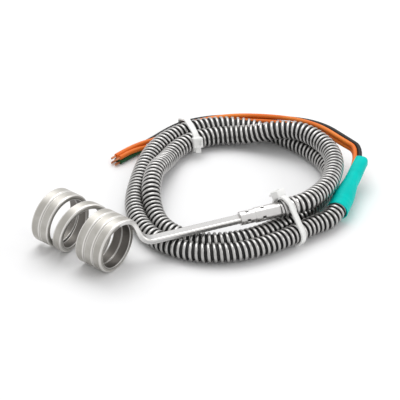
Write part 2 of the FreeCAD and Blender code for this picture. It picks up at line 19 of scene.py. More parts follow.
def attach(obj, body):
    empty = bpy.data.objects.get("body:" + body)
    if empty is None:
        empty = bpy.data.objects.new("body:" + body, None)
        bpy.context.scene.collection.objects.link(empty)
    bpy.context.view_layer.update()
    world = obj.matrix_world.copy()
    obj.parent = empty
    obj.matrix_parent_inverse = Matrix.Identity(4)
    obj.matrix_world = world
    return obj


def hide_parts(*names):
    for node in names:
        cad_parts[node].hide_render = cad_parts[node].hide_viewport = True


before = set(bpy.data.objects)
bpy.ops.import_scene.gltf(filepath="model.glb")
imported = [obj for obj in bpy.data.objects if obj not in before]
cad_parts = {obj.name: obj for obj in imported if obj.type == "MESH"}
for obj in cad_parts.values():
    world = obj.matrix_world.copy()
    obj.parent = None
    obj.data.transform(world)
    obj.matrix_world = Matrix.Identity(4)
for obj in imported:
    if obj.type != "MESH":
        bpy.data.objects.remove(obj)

log = logging.getLogger("coil_heater")
UP = Vector((0, 0, 1))
AXIS = Vector((1, 0, 0))
MM = 0.001
TURN = 360.0
MERGE = 0.001 * MM  # points closer than this are one


# ---------------------------------------------------------------- shared maths


def smooth(value: float, start: float, end: float) -> float:
    """0 before start, 1 after end and an even blend between them.

    Args:
        value: where to read the blend.
        start: where it leaves 0.
        end: where it reaches 1.

    Returns:
        The blend, from 0 to 1.
    """
    share = min(max((value - start) / (end - start), 0.0), 1.0)
    return share * share * (3 - 2 * share)


def direction(degrees: float, slope: float = 0.0) -> Vector:
    """Unit vector at a plan direction from +X towards +Y.

    Args:
        degrees: the plan direction.
        slope: how steeply it rises, in degrees.

    Returns:
        The unit vector.
    """
    plan, rise = math.radians(degrees), math.radians(slope)
    return Vector((math.cos(plan) * math.cos(rise), math.sin(plan) * math.cos(rise), math.sin(rise)))


def frame_at(middle: Vector, across: Vector, outward: Vector) -> Matrix:
    """The place of a section: its X along across, its Y along outward.

    Args:
        middle: the section's origin.
        across: unit vector of its X.
        outward: unit vector of its Y.

    Returns:
        The matrix that puts a flat section there.
    """
    way = across.cross(outward)
    return Matrix((
        (across.x, outward.x, way.x, middle.x),
        (across.y, outward.y, way.y, middle.y),
        (across.z, outward.z, way.z, middle.z),
        (0, 0, 0, 1),
    ))


def carried_frames(points: Sequence[Vector], side: Vector) -> list[Matrix]:
    """Frames along a line that turn as little as they can.

    Args:
        points: the line.
        side: roughly where the first frame's X points.

    Returns:
        One frame a point, square to the line.
    """
    frames = []
    for k, point in enumerate(points):
        way = (points[min(k + 1, len(points) - 1)] - points[max(k - 1, 0)]).normalized()
        side = (side - way * side.dot(way)).normalized()
        frames.append(frame_at(point, side, way.cross(side)))
    return frames


def line_lengths(points: Sequence[Vector]) -> list[float]:
    """Length along a line up to each of its points."""
    lengths = [0.0]
    for before, after in zip(points, points[1:]):
        lengths.append(lengths[-1] + (after - before).length)
    return lengths


# ---------------------------------------------------------------- shared mesh tools


def mesh_object(name: str, bm: bmesh.types.BMesh, finish: "bpy.types.Material",
                sharp: float = 35.0) -> "bpy.types.Object":
    """Turns a bmesh into a piece of the object.

    Args:
        name: the piece's name.
        bm: its mesh, which is freed.
        finish: its material.
        sharp: edges that bend more than this many degrees stay sharp.

    Returns:
        The linked object, riding on the object's one body.
    """
    for edge in bm.edges:
        edge.smooth = len(edge.link_faces) < 2 or edge.calc_face_angle(0) < math.radians(sharp)
    mesh = bpy.data.meshes.new(name)
    bm.to_mesh(mesh)
    bm.free()
    mesh.shade_smooth()
    mesh.materials.append(finish)
    piece = bpy.data.objects.new(name, mesh)
    bpy.context.scene.collection.objects.link(piece)
    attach(piece, "root")
    return piece


def sweep(section: Sequence[Sequence[float]], frames: Sequence[Matrix]) -> bmesh.types.BMesh:
    """Carries a closed section along frames: a grid rolled round the section, station by station.

    Args:
        section: corners as (x, y) or (x, y, edge, shade), where edge is how much painted highlight a rounded
        corner gets and shade how much painted shade a corner that faces inwards gets.
        frames: places of the section.

    Returns:
        The closed mesh, with vertex layers for the length along it, its painted edge highlight and its
        painted shade.
    """
    bm = bmesh.new()
    along = bm.verts.layers.float.new("along")
    edge = bm.verts.layers.float.new("edge")
    painted_shade = bm.verts.layers.float.new("painted_shade")
    bmesh.ops.create_grid(bm, x_segments=len(section), y_segments=len(frames) - 1, size=0.5)
    lengths = line_lengths([frame_matrix.translation for frame_matrix in frames])
    for vertex in bm.verts:
        around = round((vertex.co.x + 0.5) * len(section)) % len(section)
        station = round((vertex.co.y + 0.5) * (len(frames) - 1))
        x, y, *painted_light = section[around]
        vertex[along] = lengths[station]
        vertex[edge], vertex[painted_shade] = painted_light or (0.0, 0.0)
        vertex.co = frames[station] @ Vector((x, y, 0))
    bmesh.ops.remove_doubles(bm, verts=bm.verts, dist=MERGE)
    bmesh.ops.holes_fill(bm, edges=[rim for rim in bm.edges if rim.is_boundary], sides=0)
    bmesh.ops.recalc_face_normals(bm, faces=bm.faces)
    return bm


def add_mesh(target: bmesh.types.BMesh, source: bmesh.types.BMesh) -> None:
    """Adds one mesh to another and frees it.

    Args:
        target: the mesh that grows.
        source: the mesh that is added.
    """
    passing = bpy.data.meshes.new("passing")
    source.to_mesh(passing)
    source.free()
    target.from_mesh(passing)
    bpy.data.meshes.remove(passing)


def rounded_box(size: Vector, radius: float) -> bmesh.types.BMesh:
    """A box with rounded edges, centred on the origin.

    Args:
        size: its three sides.
        radius: how round its edges are.

    Returns:
        The mesh.
    """
    bm = bmesh.new()
    bmesh.ops.create_cube(bm, size=1)
    bmesh.ops.scale(bm, vec=size, verts=bm.verts)
    bmesh.ops.bevel(bm, geom=bm.edges, offset=radius, segments=3, profile=0.5, affect="EDGES", material=-1)
    return bm


def turned(profile: Sequence[tuple[float, float]], steps: int) -> bmesh.types.BMesh:
    """A solid of revolution about Z.

    Args:
        profile: (radius, height) corners from one end of the axis or rim to the other.
        steps: facets round the axis.

    Returns:
        The turned mesh.
    """
    bm = bmesh.new()
    line = [bm.verts.new((radius, 0, height)) for radius, height in profile]
    edges = [bm.edges.new(pair) for pair in zip(line, line[1:])]
    bmesh.ops.spin(bm, geom=line + edges, cent=(0, 0, 0), axis=(0, 0, 1), dvec=(0, 0, 0),
                   angle=2 * math.pi, steps=steps, use_merge=True, use_duplicate=False)
    bmesh.ops.remove_doubles(bm, verts=bm.verts, dist=MERGE)
    bmesh.ops.recalc_face_normals(bm, faces=bm.faces)
    return bm


def spline_curve(name: str, points: Iterable[Vector], resolution: int) -> "bpy.types.Object":
    """A curve object with one NURBS spline through the hull of points.

    Args:
        name: its name.
        points: control points.
        resolution: points between two of them.

    Returns:
        The curve object, not linked to the scene.
    """
    points = list(points)
    curve = bpy.data.curves.new(name, "CURVE")
    curve.dimensions = "3D"
    spline = curve.splines.new("NURBS")
    spline.points.add(len(points) - 1)
    for knot, point in zip(spline.points, points):
        knot.co = (*point, 1)
    spline.order_u = 3
    spline.use_endpoint_u = True
    curve.resolution_u = resolution
    spline.resolution_u = resolution
    return bpy.data.objects.new(name, curve)


def spline_points(name: str, points: Iterable[Vector], resolution: int) -> list[Vector]:
    """Points read from the NURBS spline that control points give.

    Args:
        name: name for the passing curve.
        points: control points.
        resolution: points between two of them.

    Returns:
        The points in order.
    """
    holder = spline_curve(name, points, resolution)
    bpy.context.scene.collection.objects.link(holder)
    mesh = bpy.data.meshes.new_from_object(holder)
    line = [vertex.co.copy() for vertex in mesh.vertices]
    bpy.data.meshes.remove(mesh)
    bpy.data.objects.remove(holder)
    return line


# ---------------------------------------------------------------- finishes

PATCH_RANGE = (0.35, 0.65)  # part of the noise over which one colour turns into the other
GRAIN_HEIGHT = 0.1 * MM  # of the grain at a depth of 1


class MixInput(IntEnum):
    """Places of a mix node's inputs, whose labels repeat."""

    FACTOR = 0
    FIRST_NUMBER = 2
    SECOND_NUMBER = 3
    FIRST_COLOUR = 6
    SECOND_COLOUR = 7


class MixResult(IntEnum):
    """Places of a mix node's results, whose labels repeat."""

    NUMBER = 0
    COLOUR = 2


@dataclass(frozen=True)
class Mask:
    """A second look that a vertex attribute brings in, such as painted shade in a groove or a painted
    highlight on an edge.
    """

    attribute: str
    start: float
    end: float
    colour: tuple[float, float, float]
    roughness: float
    strength: float = 1.0

    def over(self, tree: "bpy.types.NodeTree", colour: "bpy.types.NodeSocket",
             roughness: "bpy.types.NodeSocket") -> tuple["bpy.types.NodeSocket", "bpy.types.NodeSocket"]:
        """Lays this look over another where the attribute says so.

        Args:
            tree: the material's nodes.
            colour: the socket with the colour so far.
            roughness: the socket with the roughness so far.

        Returns:
            The sockets with the colour and the roughness of both.
        """
        nodes, links = tree.nodes, tree.links
        attribute = nodes.new("ShaderNodeAttribute")
        attribute.attribute_name = self.attribute
        blend = nodes.new("ShaderNodeMapRange")
        blend.interpolation_type = "SMOOTHSTEP"
        blend.inputs["From Min"].default_value = self.start
        blend.inputs["From Max"].default_value = self.end
        blend.inputs["To Max"].default_value = self.strength
        links.new(attribute.outputs["Fac"], blend.inputs["Value"])
        tint = nodes.new("ShaderNodeMix")
        tint.data_type = "RGBA"
        links.new(blend.outputs["Result"], tint.inputs[MixInput.FACTOR])
        links.new(colour, tint.inputs[MixInput.FIRST_COLOUR])
        tint.inputs[MixInput.SECOND_COLOUR].default_value = (*self.colour, 1)
        gloss = nodes.new("ShaderNodeMix")
        links.new(blend.outputs["Result"], gloss.inputs[MixInput.FACTOR])
        links.new(roughness, gloss.inputs[MixInput.FIRST_NUMBER])
        gloss.inputs[MixInput.SECOND_NUMBER].default_value = self.roughness
        return tint.outputs[MixResult.COLOUR], gloss.outputs[MixResult.NUMBER]


@dataclass(frozen=True)
class Finish:
    """A material with fine grain and slow colour change on one Principled shader."""

    name: str
    colour: tuple[float, float, float]
    second_colour: tuple[float, float, float]
    metallic: float = 0.0
    roughness: float = 0.4
    roughness_spread: float = 0.1
    patch_scale: float = 60.0
    grain_scale: float = 900.0
    grain_depth: float = 0.05
    specular: float = 0.5
    subsurface: float = 0.0
    subsurface_reach: float = 2.0 * MM
    masks: tuple[Mask, ...] = ()

    def build(self) -> "bpy.types.Material":
        """Makes the material.

        Returns:
            The material, ready to assign.
        """
        material = bpy.data.materials.new(self.name)
        material.use_nodes = True
        nodes, links = material.node_tree.nodes, material.node_tree.links
        shader = nodes["Principled BSDF"]
        shader.inputs["Metallic"].default_value = self.metallic
        shader.inputs["Specular IOR Level"].default_value = self.specular
        shader.inputs["Subsurface Weight"].default_value = self.subsurface
        shader.inputs["Subsurface Radius"].default_value = (self.subsurface_reach,) * 3
        surface = nodes.new("ShaderNodeGroup")
        surface.node_tree = worn_surface_group()
        place = nodes.new("ShaderNodeTexCoord")
        links.new(place.outputs["Object"], surface.inputs["Place"])
        surface.inputs["Colour"].default_value = (*self.colour, 1)
        surface.inputs["Second colour"].default_value = (*self.second_colour, 1)
        surface.inputs["Roughness"].default_value = self.roughness
        surface.inputs["Roughness spread"].default_value = self.roughness_spread
        surface.inputs["Patch scale"].default_value = self.patch_scale
        surface.inputs["Grain scale"].default_value = self.grain_scale
        surface.inputs["Grain depth"].default_value = self.grain_depth
        colour, roughness = surface.outputs["Colour"], surface.outputs["Roughness"]
        for mask in self.masks:
            colour, roughness = mask.over(material.node_tree, colour, roughness)
        links.new(colour, shader.inputs["Base Color"])
        links.new(roughness, shader.inputs["Roughness"])
        links.new(surface.outputs["Normal"], shader.inputs["Normal"])
        return material


def worn_surface_group() -> "bpy.types.NodeTree":
    """The shared effect of every finish: patches of two colours, uneven gloss and a fine grain.

    Returns:
        The node group, made once.
    """
    name = "worn_surface"
    if name in bpy.data.node_groups:
        return bpy.data.node_groups[name]
    group = bpy.data.node_groups.new(name, "ShaderNodeTree")
    sockets = group.interface
    for label, kind in (("Place", "NodeSocketVector"), ("Colour", "NodeSocketColor"),
                        ("Second colour", "NodeSocketColor"), ("Roughness", "NodeSocketFloat"),
                        ("Roughness spread", "NodeSocketFloat"), ("Patch scale", "NodeSocketFloat"),
                        ("Grain scale", "NodeSocketFloat"), ("Grain depth", "NodeSocketFloat")):
        sockets.new_socket(name=label, in_out="INPUT", socket_type=kind)
    for label, kind in (("Colour", "NodeSocketColor"), ("Roughness", "NodeSocketFloat"),
                        ("Normal", "NodeSocketVector")):
        sockets.new_socket(name=label, in_out="OUTPUT", socket_type=kind)
    nodes, links = group.nodes, group.links
    given, result = nodes.new("NodeGroupInput"), nodes.new("NodeGroupOutput")

    patches = nodes.new("ShaderNodeTexNoise")
    patches.inputs["Detail"].default_value = 4
    links.new(given.outputs["Place"], patches.inputs["Vector"])
    links.new(given.outputs["Patch scale"], patches.inputs["Scale"])
    contrast = nodes.new("ShaderNodeMapRange")
    contrast.interpolation_type = "SMOOTHSTEP"
    contrast.inputs["From Min"].default_value = PATCH_RANGE[0]
    contrast.inputs["From Max"].default_value = PATCH_RANGE[1]
    links.new(patches.outputs["Fac"], contrast.inputs["Value"])
    colour = nodes.new("ShaderNodeMix")
    colour.data_type = "RGBA"
    links.new(contrast.outputs["Result"], colour.inputs[MixInput.FACTOR])
    links.new(given.outputs["Colour"], colour.inputs[MixInput.FIRST_COLOUR])
    links.new(given.outputs["Second colour"], colour.inputs[MixInput.SECOND_COLOUR])
    links.new(colour.outputs[MixResult.COLOUR], result.inputs["Colour"])

    grain = nodes.new("ShaderNodeTexNoise")
    grain.inputs["Detail"].default_value = 3
    links.new(given.outputs["Place"], grain.inputs["Vector"])
    links.new(given.outputs["Grain scale"], grain.inputs["Scale"])
    spread = nodes.new("ShaderNodeMath")
    spread.operation = "MULTIPLY_ADD"
    links.new(grain.outputs["Fac"], spread.inputs[0])
    links.new(given.outputs["Roughness spread"], spread.inputs[1])
    links.new(given.outputs["Roughness"], spread.inputs[2])
    links.new(spread.outputs["Value"], result.inputs["Roughness"])
    bump = nodes.new("ShaderNodeBump")
    bump.inputs["Distance"].default_value = GRAIN_HEIGHT
    links.new(given.outputs["Grain depth"], bump.inputs["Strength"])
    links.new(grain.outputs["Fac"], bump.inputs["Height"])
    links.new(bump.outputs["Normal"], result.inputs["Normal"])
    return group


# ---------------------------------------------------------------- heater strip


@dataclass
class HeaterStrip:
    """The flat strip wound round the bore, its exit bend and its straight cold leg."""

    bore_radius: float = 9.5 * MM
    width: float = 4.2 * MM
    thickness: float = 2.08 * MM
    lying_radius: float = 11.7 * MM
    close_pitch: float = 4.25 * MM
    turns: float = 5.5
    spread_from: float = 2.15
    spread_to: float = 4.05
    spread: float = 10.2 * MM
    exit_angle: float = 62.0
    leg_start_x: float = 3.7 * MM
    leg_start_y: float = 15.6 * MM
    leg_direction: float = 58.6
    leg_rise: float = 3.95
    leg_length: float = 42.5 * MM
    leg_clearance: float = 0.4 * MM
    leg_half: float = 1.1 * MM
    under_leg: float = 8.0 * MM
    leg_stations: tuple[float, ...] = (0.0, 0.02, 0.25, 0.5, 0.75, 1.0)
    stations_a_turn: int = 96
    bend_stations: int = 26
    bend_reach: float = 0.42
    corner_radius: float = 0.55 * MM
    inner_corner_radius: float = 0.25 * MM
    corner_steps: int = 3
    # how far the painted highlight on each rounded corner reaches along the flat sides
    edge_highlight_reach: float = 0.22 * MM
    # depth from the mouth's end face over which its painted highlight is full
    painted_highlight_depth: float = 0.11 * MM

    @property
    def floor(self) -> float:
        """Height of the surface that the heater lies on."""
        return -self.lying_radius

    @property
    def leg_way(self) -> Vector:
        """The way the cold leg runs."""
        return direction(self.leg_direction, self.leg_rise)

    @property
    def leg_start(self) -> Vector:
        """Where the straight leg starts."""
        height = self.floor + self.under_leg + self.leg_half + self.leg_clearance
        return Vector((self.leg_start_x, self.leg_start_y, height))

    @property
    def leg_end(self) -> Vector:
        """The cold end of the strip."""
        return self.leg_start + self.leg_way * self.leg_length

    @property
    def leg_across(self) -> Vector:
        """Across the leg's flat side."""
        return self.leg_way.cross(UP).normalized()

    def coil_frame(self, turn: float) -> Matrix:
        """The section's place on the coil.

        Args:
            turn: turns back from the mouth.

        Returns:
            Its frame: X along the bore, Y outwards.
        """
        share = min(max((turn - self.spread_from) / (self.spread_to - self.spread_from), 0.0), 1.0)
        opened = share - math.sin(2 * math.pi * share) / (2 * math.pi)
        place = -self.width / 2 - self.close_pitch * turn - self.spread * opened
        angle = math.radians(self.exit_angle) + 2 * math.pi * turn
        outward = Vector((0, math.cos(angle), math.sin(angle)))
        middle = Vector((place, 0, 0)) + outward * (self.bore_radius + self.thickness / 2)
        return frame_at(middle, AXIS, outward)

    def frames(self) -> list[Matrix]:
        """The section's places from the hot tip to the cold end."""
        count = math.ceil(self.turns * self.stations_a_turn)
        line = [self.coil_frame(self.turns * (1 - k / count)) for k in range(count + 1)]
        start = line[-1].translation
        outward = line[-1].col[1].xyz
        leaving = -line[-1].col[2].xyz
        reach = (self.leg_start - start).length * self.bend_reach
        points = interpolate_bezier(start, start + leaving * reach, self.leg_start - self.leg_way * reach,
                                    self.leg_start, self.bend_stations)
        facing_end = self.leg_across.cross(self.leg_way)
        for k in range(1, len(points) - 1):
            share = smooth(k / (len(points) - 1), 0, 1)
            way = (points[k + 1] - points[k - 1]).normalized()
            facing = outward.lerp(facing_end, share)
            across = way.cross(facing).normalized()
            line.append(frame_at(points[k], across, across.cross(way)))
        for share in self.leg_stations:
            line.append(frame_at(self.leg_start.lerp(self.leg_end, share), self.leg_across, facing_end))
        return line

    def section(self) -> list[tuple[float, float, float, float]]:
        """Rounded outline, softer outside than at the bore, with painted edge highlight and painted inner
        shade.
        """
        half, deep = self.width / 2, self.thickness / 2
        corners = []
        for x, y, radius in ((half, -deep, self.inner_corner_radius), (half, deep, self.corner_radius),
                             (-half, deep, self.corner_radius), (-half, -deep, self.inner_corner_radius)):
            centre_x, centre_y = x - math.copysign(radius, x), y - math.copysign(radius, y)
            first = math.atan2(math.copysign(1, y), math.copysign(1, x)) - math.pi / 4
            # painted shade on the side that lies against the bore
            inner = 1.0 if y < 0 else 0.0
            arc = []
            for step in range(self.corner_steps + 1):
                facing = first + step * math.pi / 2 / self.corner_steps
                arc.append((centre_x + radius * math.cos(facing), centre_y + radius * math.sin(facing), 1.0,
                            inner))
            last = first + math.pi / 2
            x, y = arc[0][:2]
            corners.append((x + self.edge_highlight_reach * math.sin(first), y - self.edge_highlight_reach * math.cos(first), 0.0, inner))
            corners += arc
            x, y = arc[-1][:2]
            corners.append((x - self.edge_highlight_reach * math.sin(last), y + self.edge_highlight_reach * math.cos(last), 0.0, inner))
        return corners

    def build(self, finish: "bpy.types.Material") -> None:
        """Makes the strip, marks its mouth's end face for a painted highlight and lets it stand for its
        solids.

        Args:
            finish: the strip's material.
        """
        bm = sweep(self.section(), self.frames())
        # weight of the painted highlight on the end face at the coil's mouth
        mouth = bm.verts.layers.float.new("mouth")
        for vertex in bm.verts:
            vertex[mouth] = smooth(vertex.co.x, -self.corner_radius, -self.painted_highlight_depth)
        strip = mesh_object("heater_strip", bm, finish)
        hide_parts("heater_sheath", "tip_cap")


# ---------------------------------------------------------------- route of the conduit


@dataclass
class HankRoute:
    """The line of the conduit: on from the sleeve, two turns of the hank, out to the shrink sleeve."""

    strip: HeaterStrip
    middle: Vector = field(default_factory=lambda: Vector((-0.5 * MM, 72.1 * MM, 0)))
    radius: float = 44.8 * MM
    oval: float = 0.095
    oval_at: float = 110.5
    bulge: float = 0.048
    bulge_at: float = 35.5
    diameter: float = 8.0 * MM
    tie_lift: float = 1.05 * MM
    level_at: float = 0.95
    front_tie_at: float = -15.0
    rear_tie_at: float = 152.0
    sleeve_reach: float = 10.5 * MM
    shrink_at: float = 17.5
    shrink_height: float = 5.2 * MM
    shrink_grip: float = 7.5 * MM
    shrink_mouth: tuple[float, float, float] = (53.0, 10.2 * MM, 10.0 * MM)
    departs: float = 3.2 * MM
    departs_from: float = -12.0
    departs_curve: float = 1.5
    # upper turn, by its angle: where it comes down beside the lower one, where it leans back and by how much
    comes_down: tuple[float, float] = (80.0, 128.0)
    leans: tuple[float, float] = (180.0, 212.0)
    leans_back: tuple[float, float] = (225.0, 258.0)
    lean: float = 38.0
    # second turn: where it moves from the inside to the outside
    moves_out: tuple[float, float] = (22.0, 66.0)
    lead_in: tuple[tuple[float, float], ...] = (
        (-16, -8.5 * MM), (4, -4.6 * MM), (20, -3.6 * MM), (39, -3.0 * MM), (62, 0.0),
    )
    # points of the spline: how far past the sleeve and before the shrink sleeve, and angles from each end
    sleeve_run: float = 10.0 * MM
    shrink_run: float = 5.0 * MM
    first_points: tuple[float, float] = (11.0, 25.0)
    points_step: float = 13.0
    last_points: tuple[float, float] = (32.0, 20.0)

    @property
    def start(self) -> Vector:
        """Where the conduit starts on the transition sleeve."""
        return self.strip.leg_end + self.strip.leg_way * self.sleeve_reach

    def outline(self, angle: float) -> float:
        """Plan radius of the outer turn."""
        oval = self.oval * math.cos(math.radians(2 * (angle - self.oval_at)))
        bulge = self.bulge * math.cos(math.radians(3 * (angle - self.bulge_at)))
        return self.radius * (1 + oval + bulge)

    def point(self, angle: float, offset: float, height: float) -> Vector:
        """A point beside the outer turn.

        Args:
            angle: plan direction from the middle of the hank.
            offset: how far outside the outer turn.
            height: above the floor.

        Returns:
            The point.
        """
        radius = self.outline(angle) + offset
        return self.middle + direction(angle) * radius + UP * (self.strip.floor + height)

    def lying_height(self, angle: float) -> float:
        """Height of the lower turn, which rests on the ties and sags between them."""
        nearest = (self.front_tie_at + self.rear_tie_at - TURN / 2) / 2
        share = 0.5 + 0.5 * math.cos(math.radians(2 * (angle - nearest)))
        return self.diameter / 2 + self.tie_lift * smooth(share, 0, self.level_at)

    def tilt(self, angle: float) -> float:
        """Tilt of the upper turn round the lower one."""
        leaning = smooth(angle, *self.leans) * (1 - smooth(angle, *self.leans_back))
        return 90 + 90 * smooth(angle, *self.comes_down) - self.lean * leaning

    def beside_outline(self, angle: float) -> tuple[float, float]:
        """Offset and height of the conduit after an angle counted over all its turns."""
        height = self.lying_height(angle)
        if angle >= TURN:
            offset = self.diameter * (smooth(angle - TURN, *self.moves_out) - 1)
            leaving = max(angle - 2 * TURN - self.departs_from, 0) / (self.shrink_at - self.departs_from)
            return offset + self.departs * leaving ** self.departs_curve, height
        if angle < self.lead_in[-1][0]:
            for (start, first), (end, second) in zip(self.lead_in, self.lead_in[1:]):
                if angle <= end:
                    share = (angle - start) / (end - start)
                    return first + (second - first) * share, height + self.diameter
        tilt = math.radians(self.tilt(angle))
        return self.diameter * math.cos(tilt), height + self.diameter * math.sin(tilt)

    def conduit_point(self, angle: float) -> Vector:
        """Middle of the conduit after an angle counted over all its turns."""
        return self.point(angle, *self.beside_outline(angle))

    @property
    def last_angle(self) -> float:
        """Where the shrink sleeve starts, counted over all turns."""
        return 2 * TURN + self.shrink_at

    @property
    def shrink_start(self) -> Vector:
        """Where the shrink sleeve starts."""
        return self.point(self.last_angle, self.beside_outline(self.last_angle)[0], self.shrink_height)

    @property
    def shrink_way(self) -> Vector:
        """The way the shrink sleeve points."""
        return (self.point(*self.shrink_mouth) - self.shrink_start).normalized()

    @property
    def finish(self) -> Vector:
        """Where the conduit ends inside the shrink sleeve."""
        return self.shrink_start + self.shrink_way * self.shrink_grip

    def control_points(self) -> list[Vector]:
        """The points of the conduit's spline."""
        beyond_sleeve = self.start + self.strip.leg_way * self.sleeve_run
        points = [self.start, beyond_sleeve, self.conduit_point(self.first_points[0])]
        first, last = self.first_points[1], self.last_angle - self.last_points[0]
        count = round((last - first) / self.points_step)
        points += [self.conduit_point(first + (last - first) * k / count) for k in range(count + 1)]
        before_shrink = self.shrink_start - self.shrink_way * self.shrink_run
        points += [self.conduit_point(self.last_angle - self.last_points[1]), before_shrink, self.finish]
        return points


@dataclass
class Conduit:
    """The spiral steel conduit: one ribbed tube from the sleeve to the shrink sleeve."""

    route: HankRoute
    pitch: float = 2.3 * MM
    bore_radius: float = 3.15 * MM
    steps_a_turn: int = 28
    line_resolution: int = 10
    # one rib and one groove: (share of the pitch, depth below the outside)
    rib: tuple[tuple[float, float], ...] = (
        (0.0, 0.95 * MM), (0.33, 0.95 * MM), (0.39, 0.50 * MM), (0.46, 0.12 * MM), (0.58, 0.0), (0.75, 0.0),
        (0.87, 0.12 * MM), (0.94, 0.50 * MM), (1.0, 0.95 * MM),
    )
    tolerance: float = 0.01 * MM

    @property
    def radius(self) -> float:
        """Outside radius of the conduit."""
        return self.route.diameter / 2

    def straight_tube(self, length: float) -> bmesh.types.BMesh:
        """The conduit before it is bent: one ribbed turn, doubled until it is long enough and cut to length.

        Args:
            length: its length along Z.

        Returns:
            The tube, with both ends closed down to its bore.
        """
        bm = bmesh.new()
        rib = [bm.verts.new((self.radius - depth, 0, (share - 1) * self.pitch)) for share, depth in self.rib]
        edges = [bm.edges.new(pair) for pair in zip(rib, rib[1:])]
        bmesh.ops.spin(bm, geom=rib + edges, cent=(0, 0, 0), axis=(0, 0, 1),
                       dvec=(0, 0, self.pitch / self.steps_a_turn), angle=2 * math.pi,
                       steps=self.steps_a_turn, use_merge=False, use_duplicate=False)
        span = self.pitch
        while span < length + 2 * self.pitch:
            copied = bmesh.ops.duplicate(bm, geom=[*bm.verts, *bm.edges, *bm.faces])["geom"]
            moved = [item for item in copied if isinstance(item, bmesh.types.BMVert)]
            bmesh.ops.translate(bm, vec=(0, 0, span), verts=moved)
            span *= 2
        bmesh.ops.remove_doubles(bm, verts=bm.verts, dist=self.tolerance)
        for height, normal in ((0.0, -1), (length, 1)):
            bmesh.ops.bisect_plane(bm, geom=[*bm.verts, *bm.edges, *bm.faces], plane_co=(0, 0, height),
                                   plane_no=(0, 0, normal), clear_outer=True, dist=MERGE)
            rim = [edge for edge in bm.edges
                   if edge.is_boundary and all(abs(end.co.z - height) < self.tolerance for end in edge.verts)]
            grown = bmesh.ops.extrude_edge_only(bm, edges=rim)["geom"]
            for vertex in grown:
                if isinstance(vertex, bmesh.types.BMVert):
                    vertex.co.xy = vertex.co.xy.normalized() * self.bore_radius
        return bm

    def build(self, finish: "bpy.types.Material") -> "bpy.types.Object":
        """Makes the conduit and lets it stand for its solids.

        Args:
            finish: the conduit's material.

        Returns:
            The conduit.
        """
        line = self.line()
        lengths = line_lengths(line)
        bm = self.straight_tube(lengths[-1])
        along = bm.verts.layers.float.new("along")
        groove = bm.verts.layers.float.new("groove")
        deepest = self.rib[0][1]
        for vertex in bm.verts:
            vertex[along] = vertex.co.z
            # how deep the point lies in a groove, which the finish turns into painted shade
            vertex[groove] = min((self.radius - vertex.co.xy.length) / deepest, 1.0)
        self.bend(bm, carried_frames(line, UP), lengths, along)
        bmesh.ops.recalc_face_normals(bm, faces=bm.faces)
        piece = mesh_object("conduit", bm, finish, sharp=60)
        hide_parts("conduit_lead_in", "conduit_hank", "conduit_end")
        return piece

    def declare(self) -> None:
        """Reads the conduit's middle line and its start and keeps neither.
        """
        line = self.line()
        tuple(self.route.start)

    def line(self) -> list[Vector]:
        """The conduit's middle line, read from its spline."""
        return spline_points("conduit_line", self.route.control_points(), self.line_resolution)

    @staticmethod
    def bend(bm: bmesh.types.BMesh, frames: Sequence[Matrix], lengths: Sequence[float],
             along: "bmesh.types.BMLayerItem") -> None:
        """Moves a straight tube along Z onto a line.

        Args:
            bm: the tube.
            frames: frames of the line.
            lengths: length along the line at each frame.
            along: vertex layer with each vertex's place along the line.
        """
        order = sorted(bm.verts, key=lambda vertex: vertex[along])
        span = 0
        for vertex in order:
            while span < len(lengths) - 2 and lengths[span + 1] < vertex[along]:
                span += 1
            share = (vertex[along] - lengths[span]) / (lengths[span + 1] - lengths[span])
            flat = Vector((vertex.co.x, vertex.co.y, 0))
            vertex.co = (frames[span] @ flat).lerp(frames[span + 1] @ flat, min(max(share, 0.0), 1.0))


# ---------------------------------------------------------------- leads


class Lead(Enum):
    """The leads in the bundle: name, and whether each lies outside or inside and on top or below."""

    ORANGE_1 = ("orange_1", -1, 1)
    ORANGE_2 = ("orange_2", -1, -1)
    BLACK = ("black", 1, 1)
    GREEN = ("green", 1, -1)


